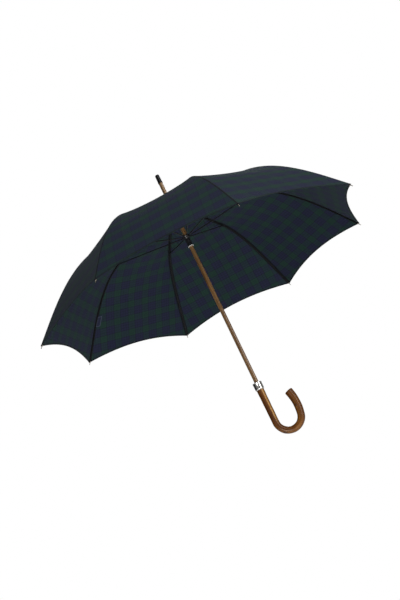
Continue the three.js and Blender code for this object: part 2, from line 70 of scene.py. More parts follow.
class Wire:
    """One value on its way through a material. Arithmetic on it adds Math nodes."""

    def __init__(self, tree, socket):
        self.tree = tree
        self.socket = socket

    def node(self, kind, settings=(), inputs=(), out=0):
        made = self.tree.nodes.new("ShaderNode" + kind)
        for name, value in dict(settings).items():
            if name == "stops":
                ramp = made.color_ramp
                for _ in range(len(value) - 2):
                    ramp.elements.new(0.5)
                for stop, (place, colour) in zip(ramp.elements, value):
                    stop.position = place
                    stop.color = (*colour, 1)
            else:
                setattr(made, name, value)
        for name, value in dict(inputs).items():
            if isinstance(value, Wire):
                self.tree.links.new(value.socket, made.inputs[name])
            elif isinstance(value, tuple) and made.inputs[name].type == "RGBA":
                made.inputs[name].default_value = (*value, 1)
            else:
                made.inputs[name].default_value = value
        return Wire(self.tree, made.outputs[out])

    def maths(self, operation, *values):
        return self.node("Math", {"operation": operation}, enumerate(values))

    def __add__(self, other):
        return self.maths("ADD", self, other)

    def __sub__(self, other):
        return self.maths("SUBTRACT", self, other)

    def __rsub__(self, other):
        return self.maths("SUBTRACT", other, self)

    def __mul__(self, other):
        return self.maths("MULTIPLY", self, other)

    def __truediv__(self, other):
        return self.maths("DIVIDE", self, other)

    __radd__ = __add__
    __rmul__ = __mul__

    def step(self, low, high):
        """0 below low and 1 above high, smooth between them."""
        inputs = {"Value": self, "From Min": low, "From Max": high}
        return self.node("MapRange", {"interpolation_type": "SMOOTHSTEP"}, inputs)

    def absolute(self):
        return self.maths("ABSOLUTE", self)

    def wave(self, length):
        """A sine that repeats at this length."""
        turns = self * (math.tau / length)
        return turns.maths("SINE", turns)

    def part(self, number):
        """One coordinate of this place: 0, 1 or 2."""
        return self.node("SeparateXYZ", {}, {0: self}, number)

    def band(self, middle, half, soft):
        """1 within half of the middle, and 0 further out."""
        return (self - middle).absolute().step(half + soft, half - soft)

    def mix(self, first, second):
        """First where this is 0, second where it is 1."""
        settings = {"data_type": "RGBA", "clamp_factor": True}
        inputs = {"Factor": self, 6: first, 7: second}
        return self.node("Mix", settings, inputs, 2)

    def noise(self, scale, detail=3, roughness=0.5, stretch=(1, 1, 1)):
        """Grey noise from 0 to 1, read at this place."""
        place = self.node("Mapping", {}, {"Vector": self, "Scale": stretch})
        inputs = {"Vector": place, "Scale": scale, "Detail": detail, "Roughness": roughness}
        return self.node("TexNoise", {}, inputs)

    def bump(self, strength, distance):
        """A normal from this height."""
        inputs = {"Height": self, "Strength": strength, "Distance": distance}
        return self.node("Bump", {}, inputs)


def finish(name, **settings):
    """A new material, the place it reads in metres, and a function that sets its shader."""
    made = bpy.data.materials.new(name)
    made.use_nodes = True
    tree = made.node_tree
    shader = tree.nodes["Principled BSDF"]
    place = Wire(tree, tree.nodes.new("ShaderNodeTexCoord").outputs["Object"])

    def surface(values):
        for socket, value in values.items():
            if isinstance(value, Wire):
                tree.links.new(value.socket, shader.inputs[socket])
            elif isinstance(value, tuple):
                shader.inputs[socket].default_value = (*value, 1)
            else:
                shader.inputs[socket].default_value = value

    surface(settings)
    return made, place, surface


def painted(piece, material):
    """The piece with this material alone."""
    piece.data.materials.clear()
    piece.data.materials.append(material)
    return piece


bpy.ops.mesh.primitive_plane_add(size=FLOOR_SIZE, location=(0, 0, FLOOR_HEIGHT))
floor = bpy.context.object
floor.name = "studio_floor"
floor_paint, place, surface = finish(
    "floor_paint", Roughness=0.7, **{"Emission Color": (1, 1, 1), "Emission Strength": 0.35})
shade = place.noise(0.4)
surface({"Base Color": shade.mix((0.86, 0.86, 0.86), (0.9, 0.9, 0.9))})
painted(floor, floor_paint)

world = bpy.data.worlds.new("studio")
bpy.context.scene.world = world
world.use_nodes = True
backdrop = world.node_tree.nodes["Background"]
backdrop.inputs["Color"].default_value = (1, 1, 1, 1)
backdrop.inputs["Strength"].default_value = 1.0
room = world.node_tree.nodes.new("ShaderNodeBackground")
room.inputs["Color"].default_value = (1, 1, 1, 1)
room.inputs["Strength"].default_value = ROOM_LIGHT
seen = world.node_tree.nodes.new("ShaderNodeLightPath")
both = world.node_tree.nodes.new("ShaderNodeMixShader")
world.node_tree.links.new(seen.outputs["Is Camera Ray"], both.inputs[0])
world.node_tree.links.new(room.outputs[0], both.inputs[1])
world.node_tree.links.new(backdrop.outputs[0], both.inputs[2])
world.node_tree.links.new(both.outputs[0], world.node_tree.nodes["World Output"].inputs[0])

# Each lamp: its name, its place, what it points at, its width and height, and its power in watts.
LAMPS = (
    ("strip", (1.9, -1.7, 0.6), (0, 0, 0.3), (0.6, 2.4), 30),
    ("key", (1.5, -1.8, 2.7), (0, 0, 0.45), (1.6, 1.6), 32),
    ("rear", (0.9, 2.6, 1.6), (0, 0, 0.45), (1.2, 1.2), 22),
    ("under", (-0.6, -2.7, -0.8), (0, 0, 0.55), (1.0, 0.8), 25),
)
for name, place_at, aim, size, power in LAMPS:
    bpy.ops.object.light_add(type="AREA", location=place_at)
    lamp = bpy.context.object
    lamp.name = f"lamp_{name}"
    lamp.rotation_mode = "QUATERNION"
    lamp.rotation_quaternion = (Vector(aim) - Vector(place_at)).to_track_quat("-Z", "Y")
    lamp.data.shape = "RECTANGLE"
    lamp.data.size, lamp.data.size_y = size
    lamp.data.energy = power


# ---- Dark cards ----
# Tall black felt cards stand round the umbrella, out of the camera's sight. They put dark lines
# into the polished nickel and keep the light off the far left of the canopy.
felt, place, surface = finish("black_felt", Roughness=0.95)
nap = place.noise(60)
surface({"Base Color": nap.mix((0.004, 0.004, 0.004), (0.012, 0.012, 0.012))})
# Each card: its heading in degrees, its distance, its width and height, and the height of its middle.
CARDS = (
    (-152, 2.2, 0.9, 3.0, 0.3),
    (-106, 1.5, 2.6, 4.2, 1.7),
    (-38, 2.2, 0.42, 2.4, 0.4),
    (14, 2.3, 0.36, 1.4, 0.7),
    (88, 2.2, 0.8, 2.4, 0.4),
    (158, 2.4, 0.7, 2.6, 0.4),
)
for number, (heading, away, width, height, middle) in enumerate(CARDS):
    turn = math.radians(heading)
    bpy.ops.mesh.primitive_plane_add(size=1)
    card = bpy.context.object
    card.name = f"dark_card_{number + 1}"
    card.location = (away * math.sin(turn), -away * math.cos(turn), middle)
    card.rotation_euler = (math.pi / 2, 0, turn)
    card.scale = (width, height, 1)
    card.visible_camera = False
    painted(card, felt)
bpy.ops.object.select_all(action="DESELECT")


# ---- Shaft, and how turned and swept pieces are made ----
# The shaft is one ash dowel, stained walnut and varnished, with two slots for the flat catches.
# It is glued into the handle below, and its top is turned down to a spigot for the ferrule.
SHAFT_R = 0.0065
SHAFT_FOOT = 0.0070
SHAFT_SHOULDER = 0.7727
SHAFT_BEVEL = 0.0006
SPIGOT_BEVEL = 0.0005
SPIGOT_R = 0.005
SPIGOT_TOP = 0.789
SLOT_HALF = 0.0012
SLOT_BACK = -0.004
SLOT_FRONT = 0.0075
CATCH_SLOTS = ((0.482, 0.5431), (0.1535, 0.2146))


def edit(piece):
    """The piece alone and all of it selected, open in edit mode."""
    bpy.ops.object.select_all(action="DESELECT")
    piece.select_set(True)
    bpy.context.view_layer.objects.active = piece
    bpy.ops.object.mode_set(mode="EDIT")
    bpy.ops.mesh.select_mode(type="EDGE")
    bpy.ops.mesh.select_all(action="SELECT")


def done(piece, angle=35):
    """Out of edit mode, placed in its mesh, faces out and smooth below this angle."""
    bpy.ops.mesh.select_all(action="SELECT")
    bpy.ops.mesh.remove_doubles(threshold=1e-6)
    bpy.ops.mesh.normals_make_consistent(inside=False)
    bpy.ops.object.mode_set(mode="OBJECT")
    bpy.ops.object.transform_apply(location=True, rotation=True, scale=True)
    bpy.ops.object.shade_smooth_by_angle(angle=math.radians(angle))
    bpy.ops.object.select_all(action="DESELECT")
    return piece


def turned(name, profile, sides=64, ring=False):
    """A ring of edges extruded up the axis from (radius, height) to the next."""
    radius, height = profile[0]
    bpy.ops.mesh.primitive_circle_add(vertices=sides, radius=radius, location=(0, 0, height))
    piece = bpy.context.object
    piece.name = name
    edit(piece)
    for new_radius, new_height in profile[1:]:
        rise = (0, 0, new_height - height)
        bpy.ops.mesh.extrude_region_move(TRANSFORM_OT_translate={"value": rise})
        grow = new_radius / radius
        bpy.ops.transform.resize(value=(grow, grow, 1), center_override=(0, 0, new_height))
        radius, height = new_radius, new_height
    bpy.ops.mesh.select_all(action="DESELECT")
    bpy.ops.mesh.select_non_manifold()
    if ring:
        bpy.ops.mesh.bridge_edge_loops()
    else:
        bpy.ops.mesh.fill_holes(sides=0)
    return done(piece)


def swept(name, section, path, sizes=None):
    """A closed section, (across, out) in metres, carried along a path of (x, z) points."""
    points = [Vector((x, 0, z)) for x, z in path]
    bpy.ops.mesh.primitive_circle_add(vertices=len(section), radius=0.01)
    piece = bpy.context.object
    piece.name = name
    ahead = [b - a for a, b in zip(points, points[1:])]
    ahead = [ahead[0]] + [(a + b) / 2 for a, b in zip(ahead, ahead[1:])] + [ahead[-1]]
    headings = [math.atan2(way.z, way.x) for way in ahead]
    out = Vector((-math.sin(headings[0]), 0, math.cos(headings[0])))
    sizes = sizes or [1] * len(points)
    for vertex, (across, lift) in zip(piece.data.vertices, section):
        vertex.co = points[0] + (out * lift + Vector((0, across, 0))) * sizes[0]
    edit(piece)
    for i in range(1, len(points)):
        move = points[i] - points[i - 1]
        turn = headings[i] - headings[i - 1]
        turn = math.atan2(math.sin(turn), math.cos(turn))
        size = sizes[i] / sizes[i - 1]
        bpy.ops.mesh.extrude_region_move(TRANSFORM_OT_translate={"value": move})
        bpy.ops.transform.rotate(value=turn, orient_axis="Y", center_override=points[i])
        bpy.ops.transform.resize(value=(size,) * 3, center_override=points[i])
    bpy.ops.mesh.select_all(action="DESELECT")
    bpy.ops.mesh.select_non_manifold()
    bpy.ops.mesh.fill_holes(sides=0)
    return done(piece)


def carved(piece, low, high, turn=0):
    """A box is taken out of the piece."""
    size = Vector(high) - Vector(low)
    bpy.ops.mesh.primitive_cube_add(size=1, location=(Vector(low) + Vector(high)) / 2)
    tool = bpy.context.object
    tool.scale = size
    bpy.ops.object.transform_apply(location=True, rotation=True, scale=True)
    tool.data.transform(Matrix.Rotation(turn, 4, "Z"))
    cut = piece.modifiers.new("slot", "BOOLEAN")
    cut.object = tool
    cut.operation = "DIFFERENCE"
    bpy.context.view_layer.objects.active = piece
    bpy.ops.object.modifier_apply(modifier=cut.name)
    bpy.data.objects.remove(tool)


def smoothed(piece, angle=35):
    """Edges flatter than this angle shaded smooth."""
    bpy.ops.object.select_all(action="DESELECT")
    piece.select_set(True)
    bpy.context.view_layer.objects.active = piece
    bpy.ops.object.shade_smooth_by_angle(angle=math.radians(angle))
    bpy.ops.object.select_all(action="DESELECT")


def wood(place, surface, pale, warm, dark, grain):
    """Varnished wood with long grain up the third axis of place, pores and slow colour change."""
    long_grain = place.noise(grain, 6, 0.65, (1, 1, 0.035))
    figure = place.noise(grain * 0.22, 3, 0.5, (1, 1, 0.10))
    pores = place.noise(grain * 3.2, 2, 0.6, (1, 1, 0.02)).step(0.60, 0.72)
    slow = place.noise(14, 2, 0.5, (1, 1, 0.5))
    stops = [(0.28, dark), (0.47, warm), (0.60, pale), (0.72, warm)]
    mixed = long_grain * 0.62 + figure * 0.38
    ramp = mixed.node("ValToRGB", {"stops": stops}, {"Fac": mixed})
    shaded = (slow.step(0.35, 0.7) * 0.45).mix(ramp, dark)
    coloured = (pores * 0.6).mix(shaded, tuple(c * 0.35 for c in dark))
    height = long_grain * 0.5 - pores * 0.7
    surface({
        "Base Color": coloured,
        "Roughness": 0.30 + long_grain * 0.12,
        "Normal": height.bump(0.10, 0.00008),
    })


shaft_wood, place, surface = finish("shaft_wood")
wood(place, surface, (0.36, 0.215, 0.088), (0.20, 0.098, 0.030), (0.060, 0.026, 0.010), 300)
surface({"Coat Weight": 0.7, "Coat Roughness": 0.12})
shaft = turned("shaft_dowel", [
    (SHAFT_R - SHAFT_BEVEL, SHAFT_FOOT),
    (SHAFT_R, SHAFT_FOOT + SHAFT_BEVEL),
    (SHAFT_R, 0.2),
    (SHAFT_R, 0.4),
    (SHAFT_R, 0.6),
    (SHAFT_R, SHAFT_SHOULDER - SPIGOT_BEVEL),
    (SHAFT_R - SPIGOT_BEVEL, SHAFT_SHOULDER),
    (SPIGOT_R, SHAFT_SHOULDER),
    (SPIGOT_R, SPIGOT_TOP),
])
for low, high in CATCH_SLOTS:
    carved(shaft, (-SLOT_HALF, SLOT_BACK, low), (SLOT_HALF, SLOT_FRONT, high))
painted(shaft, shaft_wood)
smoothed(shaft)
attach(shaft, "stick")
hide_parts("shaft")


# ---- Ferrule ----
# A black enamelled steel cap on the top of the shaft, with a rolled rim and a worn rounded end.
# It is pressed over the shaft's spigot.
ferrule_black, place, surface = finish("ferrule_black", Metallic=0.7)
worn = place.noise(600, 4, 0.6).step(0.62, 0.72) * place.part(2).step(0.797, 0.804)
scuff = place.noise(260, 3)
surface({
    "Base Color": worn.mix((0.012, 0.013, 0.014), (0.16, 0.15, 0.14)),
    "Roughness": 0.28 + scuff * 0.22,
    "Normal": scuff.bump(0.12, 0.0002),
})
ferrule = turned("ferrule_cap", [
    (0.0062, 0.773), (0.0072, 0.7731), (0.0076, 0.7738), (0.0076, 0.7756), (0.0072, 0.7763),
    (0.0071, 0.777), (0.0068, 0.790), (0.0066, 0.7995), (0.0062, 0.8016), (0.0053, 0.8026),
    (0.0035, 0.803),
])
painted(ferrule, ferrule_black)
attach(ferrule, "stick")
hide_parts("ferrule")


# ---- Tip cup ----
# A spun nickel-plated brass cup round the shaft above the handle. The rib tips tuck into it when
# the umbrella is shut. Its rim is rolled, and it is polished, with faint turning lines.
nickel, place, surface = finish("nickel_plate", Metallic=1.0)
lines = place.noise(30, 3, 0.6, (1, 1, 90))
smudge = place.noise(90, 4, 0.6)
surface({
    "Base Color": smudge.mix((0.74, 0.72, 0.68), (0.86, 0.84, 0.80)),
    "Roughness": 0.15 + lines * 0.03 + smudge * 0.05,
    "Normal": lines.bump(0.01, 0.00001),
})
cup = turned("nickel_cup", [
    (0.0068, 0.0520), (0.0112, 0.0520), (0.0120, 0.0524), (0.0131, 0.0540), (0.0134, 0.0552),
    (0.0135, 0.0570), (0.0135, 0.0722), (0.01385, 0.0730), (0.0140, 0.0740), (0.01385, 0.0748),
    (0.0134, 0.0750), (0.0129, 0.0746), (0.0126, 0.0736), (0.0126, 0.0580), (0.0070, 0.0571),
], 96, ring=True)
painted(cup, nickel)
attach(cup, "stick")
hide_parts("tip_cup")


# ---- Crook handle ----
# One peeled chestnut rod, steamed and bent to a crook, rasped round, stained and varnished. The
# grain runs along the bend, with a few knots, and the end is rounded over.
HANDLE_TOP = 0.0517
CROOK_START = -0.053
CROOK_R = 0.0385
CROOK_END_R = 0.147
CROOK_TURN = math.radians(168)
CROOK_END_TURN = math.radians(30)
ROD_SIDES = 40
ROD_ROUNDING = 0.0028
ROD_TOP_EASED = 0.0022
ROD_DRAWN_IN = 0.16
# Each knot: its length down the rod from the top, and its angle round it.
KNOTS = ((0.030, 0.9), (0.142, 3.9), (0.196, 1.6), (0.246, 5.2))
KNOT_R = 0.0105
KNOT_SWELL = 0.0007
KNOT_LENGTH = 0.006
KNOT_SPREAD = 0.5
KNOT_STRETCH = 0.6
RASP_RIPPLE = 0.00012


def crook_line(length):
    """The middle of the rod at a length from its top."""
    straight = HANDLE_TOP - CROOK_START
    if length <= straight:
        return 0, HANDLE_TOP - length
    bent = (length - straight) / CROOK_R
    angle = math.pi + min(bent, CROOK_TURN)
    x, z = CROOK_R, CROOK_START
    if bent <= CROOK_TURN:
        return x + CROOK_R * math.cos(angle), z + CROOK_R * math.sin(angle)
    reach = CROOK_END_R - CROOK_R
    last = angle + (length - straight - CROOK_R * CROOK_TURN) / CROOK_END_R
    x, z = x - reach * math.cos(angle), z - reach * math.sin(angle)
    return x + CROOK_END_R * math.cos(last), z + CROOK_END_R * math.sin(last)


CROOK_LENGTH = HANDLE_TOP - CROOK_START + CROOK_R * CROOK_TURN + CROOK_END_R * CROOK_END_TURN
GIRTH_AT = [0, 0.03, 0.09, 0.16, 0.22, 0.27, 0.295]
GIRTHS = [0.0110, 0.0106, 0.0103, 0.0105, 0.0112, 0.0120, 0.0129]
rounding = [0.0, 0.0007, 0.0016, ROD_ROUNDING]
lengths = rounding + list(np.linspace(0.006, CROOK_LENGTH - 0.006, 84))
lengths += [CROOK_LENGTH - drop for drop in rounding[::-1]]
rod_sizes = []
for length in lengths:
    girth = np.interp(length, GIRTH_AT, GIRTHS)
    from_end = min(length + ROD_TOP_EASED, CROOK_LENGTH - length)
    edge = min(1, from_end / ROD_ROUNDING)
    rod_sizes.append(girth * (1 - ROD_DRAWN_IN * (1 - edge) ** 2))
circle = [(math.cos(a), math.sin(a)) for a in np.arange(ROD_SIDES) * math.tau / ROD_SIDES]
crook = swept("crook_rod", circle, [crook_line(s) for s in lengths], rod_sizes)

# The rod straightened out: each point's place across the section, and its length along.
fine = np.linspace(0, CROOK_LENGTH, 2000)
line = np.array([crook_line(s) for s in fine])
straightened = []
for vertex in crook.data.vertices:
    near = int(np.argmin((line[:, 0] - vertex.co.x) ** 2 + (line[:, 1] - vertex.co.z) ** 2))
    way = line[min(near + 1, len(line) - 1)] - line[max(near - 1, 0)]
    way = way / np.linalg.norm(way)
    off = np.array([vertex.co.x, vertex.co.z]) - line[near]
    across, out = vertex.co.y, float(off @ np.array([-way[1], way[0]]))
    swell = 0.0
    for knot_length, knot_angle in KNOTS:
        turn = math.remainder(math.atan2(across, out) - knot_angle, math.tau)
        away = ((fine[near] - knot_length) / KNOT_LENGTH) ** 2 + (turn / KNOT_SPREAD) ** 2
        swell += KNOT_SWELL * math.exp(-away)
    ripple = RASP_RIPPLE * math.sin(fine[near] * 190 + 2 * math.atan2(across, out))
    side = Vector((off[0], across, off[1]))
    if side.length > 0.004:
        vertex.co += side.normalized() * (swell + ripple)
    straightened.append((across, out, float(fine[near])))
along = crook.data.attributes.new("along", "FLOAT_VECTOR", "POINT")
along.data.foreach_set("vector", np.array(straightened, np.float32).ravel())

chestnut, place, surface = finish("chestnut")
rod_place = place.node("Attribute", {"attribute_name": "along"}, {}, "Vector")
wood(rod_place, surface, (0.27, 0.108, 0.015), (0.115, 0.036, 0.005), (0.036, 0.010, 0.003), 170)
shader = chestnut.node_tree.nodes["Principled BSDF"]
base = Wire(place.tree, shader.inputs["Base Color"].links[0].from_socket)
across_rod, out_rod, down_rod = (rod_place.part(i) for i in range(3))
waver = rod_place.noise(26, 3, 0.6, (1, 1, 0.5))
# Painted highlight: a pale ochre stripe down the +X side of the straight part of the rod.
painted_highlight_stripe = (out_rod + waver * 0.006 - 0.003).band(0.0055, 0.0020, 0.0024) * down_rod.step(0.125, 0.075)
amber = waver.step(0.50, 0.68) * down_rod.band(0.140, 0.03, 0.03)
# Painted shade: the rod's -Y side is darkened in noisy streaks.
painted_shade_side = rod_place.noise(40, 4, 0.6, (1, 1, 0.25)).step(0.45, 0.62) * across_rod.step(0.002, -0.004)
base = (painted_shade_side * 0.55).mix(base, (0.050, 0.014, 0.005))
# The painted highlight stripe and paler amber patches in the bend are mixed in here.
base = (painted_highlight_stripe * 0.8 + amber * 0.5).mix(base, (0.52, 0.27, 0.065))
knots = rod_place * 0
stretched = rod_place.node("Mapping", {}, {"Vector": rod_place, "Scale": (1, 1, KNOT_STRETCH)})
for knot_length, knot_angle in KNOTS:
    across, out = KNOT_R * math.sin(knot_angle), KNOT_R * math.cos(knot_angle)
    target = (across, out, knot_length * KNOT_STRETCH)
    away = rod_place.node("VectorMath", {"operation": "DISTANCE"}, {0: stretched, 1: target}, "Value")
    knots = knots + away.step(0.0042, 0.0012)
surface({
    "Base Color": (knots * 0.75).mix(base, (0.035, 0.012, 0.006)),
    "Coat Weight": 0.16,
    "Coat Roughness": 0.12,
    "Specular IOR Level": 0.2,
})
painted(crook, chestnut)
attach(crook, "stick")
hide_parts("crook_handle")


# ---- Crown: notched head, wire and cap ----
# The ribs are wired into a notched head of black plastic pinned to the shaft. A black cap with a
# rolled edge closes the canopy's centre from above.
HINGE_R = 0.010
CROWN_HINGE = 0.693
RUNNER_PIVOT = 0.576955
HINGE_WIRE_R = 0.0005

black_plastic, place, surface = finish("black_plastic", **{"Specular IOR Level": 0.5})
moulded = place.noise(900, 2)
dust = place.noise(120, 4, 0.65).step(0.55, 0.75)
surface({
    "Base Color": (dust * 0.5).mix((0.012, 0.012, 0.014), (0.045, 0.045, 0.048)),
    "Roughness": 0.30 + dust * 0.25,
    "Normal": moulded.bump(0.10, 0.0001),
})
steel_wire, place, surface = finish("steel_wire", Metallic=1.0)
drawn = place.noise(700, 3)
surface({
    "Base Color": drawn.mix((0.42, 0.41, 0.40), (0.62, 0.61, 0.59)),
    "Roughness": 0.25 + drawn * 0.2,
})


def given(node, material):
    """A CAD node with a better finish."""
    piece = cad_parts[node]
    painted(piece, material)


given("crown_notch", black_plastic)
given("stop_pin", steel_wire)
given("top_spring", steel_wire)
given("bottom_spring", steel_wire)

HEADS = (
    ("crown_wire_ring", CROWN_HINGE, "stick", "crown_wire"),
    ("runner_wire_ring", RUNNER_PIVOT, "slider", "runner_wire"),
)
for name, height, body, node in HEADS:
    bpy.ops.mesh.primitive_torus_add(
        location=(0, 0, height), major_radius=HINGE_R, minor_radius=HINGE_WIRE_R,
        major_segments=64, minor_segments=8)
    ring = bpy.context.object
    ring.name = name
    edit(ring)
    done(ring)
    painted(ring, steel_wire)
    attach(ring, body)
    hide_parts(node)

cap = turned("crown_cover", [
    (0.0069, 0.6972), (0.0105, 0.6965), (0.0165, 0.6952), (0.0169, 0.6954), (0.0171, 0.6958),
    (0.0169, 0.6962), (0.0163, 0.6963), (0.0120, 0.6978), (0.0105, 0.6986), (0.0098, 0.6995),
    (0.0092, 0.7030), (0.0090, 0.7042), (0.0085, 0.7045), (0.0069, 0.7045),
], ring=True)
painted(cap, black_plastic)
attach(cap, "stick")
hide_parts("crown_cap")


# ---- Runner ----
# A black tube that slides on the shaft, with a notched head for the stretchers, a long slot that
# the catch snaps into, and a nickel ring round its foot for the thumb.
RIBS = 8
FIRST_RIB = math.radians(196.4)
NOTCH_HALF = 0.001
NOTCH_REACH = 0.0046
NOTCH_FLOOR = 0.0077
CUT_OUTSIDE = 0.012
CATCH_WINDOW = (0.5504, 0.5697)


def rib_azimuth(k):
    return FIRST_RIB - k * math.tau / RIBS


runner = turned("runner_tube", [
    (0.0068, 0.54496), (0.0080, 0.54496), (0.0083, 0.5453), (0.0083, 0.5560), (0.0080, 0.5564),
    (0.0080, 0.5572), (0.0083, 0.5576), (0.0083, 0.5680), (0.0088, 0.5705), (0.0106, 0.5730),
    (0.0110, 0.5737), (0.0110, 0.57590), (0.0094, 0.5762), (0.0094, 0.5777), (0.0110, 0.57800),
    (0.0110, 0.5797), (0.0107, 0.5801), (0.0068, 0.58015),
], ring=True)
for k in range(RIBS):
    low = (NOTCH_FLOOR, -NOTCH_HALF, RUNNER_PIVOT - NOTCH_REACH)
    high = (CUT_OUTSIDE, NOTCH_HALF, RUNNER_PIVOT + NOTCH_REACH)
    carved(runner, low, high, rib_azimuth(k))
carved(runner, (-SLOT_HALF, 0, CATCH_WINDOW[0]), (SLOT_HALF, CUT_OUTSIDE, CATCH_WINDOW[1]))
painted(runner, black_plastic)
smoothed(runner)
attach(runner, "slider")
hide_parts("runner")

thumb_ring = turned("runner_thumb_ring", [
    (0.0068, 0.5414), (0.0088, 0.5414), (0.0094, 0.5416), (0.0098, 0.5421), (0.0098, 0.5426),
    (0.0095, 0.5430), (0.0098, 0.5434), (0.0098, 0.5440), (0.0094, 0.5445), (0.0088, 0.54465),
    (0.0068, 0.54465),
], ring=True)
painted(thumb_ring, nickel)
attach(thumb_ring, "slider")
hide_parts("runner_ring")


# ---- Ribs and stretchers ----
# Eight fluted ribs of black enamelled spring steel, each with a thin stretcher from the runner. The
# flute is open towards the shaft. Past the stretcher the rib bends as the canopy is drawn tight.
CROWN_PIVOT = (HINGE_R, CROWN_HINGE)
ELBOW = (0.260244, 0.638873)
RIB_TIP = (0.538, 0.410)
BEND_START = (math.radians(12), 0.112)
BEND_END = (math.radians(49.5), 0.128)
TIP_LENGTH = 0.013
ARM_POINTS = 200
# How far each bar runs on into the piece that it is fixed to.
MIDDLE_LAP = 0.0015
OUTER_LAP = 0.0005
TIP_LAP = 0.001


def bezier(share):
    """The bent part of the rib, from the stretcher's joint to the tip."""
    share = np.asarray(share, float)[..., None]
    start, end = np.array(ELBOW), np.array(RIB_TIP)
    first = start + BEND_START[1] * np.array([math.cos(BEND_START[0]), -math.sin(BEND_START[0])])
    last = end - BEND_END[1] * np.array([math.cos(BEND_END[0]), -math.sin(BEND_END[0])])
    rest = 1 - share
    return rest**3 * start + 3 * rest**2 * share * first + 3 * rest * share**2 * last + share**3 * end


arm_points = np.linspace(CROWN_PIVOT, ELBOW, ARM_POINTS)
rib_points = np.vstack([arm_points[:-1], bezier(np.linspace(0, 1, 800))])
rib_lengths = np.concatenate([[0], np.cumsum(np.linalg.norm(np.diff(rib_points, axis=0), axis=1))])
RIB_LENGTH = float(rib_lengths[-1])
FIRST_FLEX = float(rib_lengths[ARM_POINTS - 1])
SECOND_FLEX = (FIRST_FLEX + RIB_LENGTH) / 2


def rib_line(length, lift=0.0):
    """(x, z) of the rib at a length from the crown, and lift above it."""
    length = np.asarray(length, float)

    def read(at):
        return np.stack([np.interp(at, rib_lengths, rib_points[:, i]) for i in (0, 1)], -1)

    ahead = read(np.clip(length + 0.002, 0, RIB_LENGTH)) - read(np.clip(length - 0.002, 0, RIB_LENGTH))
    ahead = ahead / np.linalg.norm(ahead, axis=-1, keepdims=True)
    out = np.stack([-ahead[..., 1], ahead[..., 0]], -1)
    return read(length) + np.asarray(lift)[..., None] * out, ahead


def copied(piece, name, turn):
    """A copy with its own mesh, turned round the shaft."""
    twin = piece.copy()
    twin.data = piece.data.copy()
    twin.name = name
    twin.data.transform(Matrix.Rotation(turn, 4, "Z"))
    bpy.context.scene.collection.objects.link(twin)
    return twin


black_steel, place, surface = finish("black_steel", **{"Specular IOR Level": 0.3})
enamel = place.noise(180, 4, 0.6)
chips = place.noise(420, 2).step(0.74, 0.78)
surface({
    "Base Color": chips.mix((0.006, 0.006, 0.007), (0.05, 0.048, 0.045)),
    "Roughness": 0.40 + enamel * 0.25,
    "Normal": enamel.bump(0.12, 0.0002),
})
FLUTE = [
    (-0.0016, -0.0013), (-0.0010, -0.0013), (-0.0010, 0.0004), (-0.0007, 0.0007),
    (0.0007, 0.0007), (0.0010, 0.0004), (0.0010, -0.0013), (0.0016, -0.0013),
    (0.0016, 0.0008), (0.0012, 0.0013), (-0.0012, 0.0013), (-0.0016, 0.0008),
]
lengths_middle = np.linspace(FIRST_FLEX - MIDDLE_LAP, SECOND_FLEX, 22)
lengths_outer = np.linspace(SECOND_FLEX - OUTER_LAP, RIB_LENGTH - TIP_LENGTH + TIP_LAP, 20)
rib_middle = swept("rib_middle_bar", FLUTE, rib_line(lengths_middle)[0])
rib_outer = swept("rib_outer_bar", FLUTE, rib_line(lengths_outer)[0])

# The tip: a turned dull brass barrel with a ball end, pushed on to the rib and pinched.
TIP_PROFILE = [
    (0.0012, 0.0), (0.0017, 0.0003), (0.0017, 0.0055), (0.0013, 0.0061), (0.0013, 0.0072),
    (0.0010, 0.0080), (0.0009, 0.0108), (0.0011, 0.0113), (0.0013, 0.0120), (0.0012, 0.0127),
    (0.0008, 0.0132), (0.0003, 0.0134),
]
rib_tip = turned("rib_tip_barrel", TIP_PROFILE, 20)
tip_end, tip_way = rib_line(RIB_LENGTH)
tip_slope = math.atan2(tip_way[1], tip_way[0])
lie = Matrix.Translation((tip_end[0], 0, tip_end[1])) @ Matrix.Rotation(math.pi / 2 - tip_slope, 4, "Y")
rib_tip.data.transform(lie @ Matrix.Translation((0, 0, -TIP_PROFILE[-1][1])))
brass, place, surface = finish("dull_brass", Metallic=1.0)
tarnish = place.noise(400, 3)
surface({
    "Base Color": tarnish.mix((0.17, 0.15, 0.12), (0.34, 0.30, 0.23)),
    "Roughness": 0.34 + tarnish * 0.18,
})
painted(rib_tip, brass)
for piece in (rib_middle, rib_outer):
    painted(piece, black_steel)

for k in range(RIBS):
    given(f"rib_inner_{k + 1}", black_steel)
    given(f"stretcher_{k + 1}", black_steel)
    turn = rib_azimuth(k)
    for source, body, node, slot in (
        (rib_middle, "bend", f"rib_middle_{k + 1}", "black_steel"),
        (rib_outer, "end", f"rib_outer_{k + 1}", "black_steel"),
        (rib_tip, "end", None, "nickel"),
    ):
        piece = copied(source, f"{source.name}_{k + 1}", turn)
        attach(piece, f"rib_{k + 1}_{body}")
        if node:
            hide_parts(node)
for source in (rib_middle, rib_outer, rib_tip):
    bpy.data.objects.remove(source)


# ---- Canopy ----
# Eight gores of dark green and navy tartan in a light twill weave, sewn at the ribs with a lapped
# seam and hemmed at the edge. The cloth is drawn tight, so it dips a little between the ribs.
GORE_ANGLE = math.tau / RIBS
CLOTH = 0.0006
CLOTH_LIFT = 0.00295
CLOTH_START = 0.002567
CLOTH_END = RIB_LENGTH - 0.007
SCALLOP = 0.027
DIP = 0.009
DIP_SHARE = 0.68
SEAM_WIDTH = 0.0075
HEM_WIDTH = 0.006
SEAM_STEP = 0.0005
HEM_STEP = 0.0004
COLUMNS = 12
NEAR_EDGE = 0.0021
# The gores are cut from the cloth at slightly different places.
WEAVE_SHIFT = (0, 0, 0.014, 0, 0, -0.006, 0.009, 0.004)


def hem_length(across):
    return CLOTH_END - SCALLOP * (1 - (2 * across - 1) ** 2)


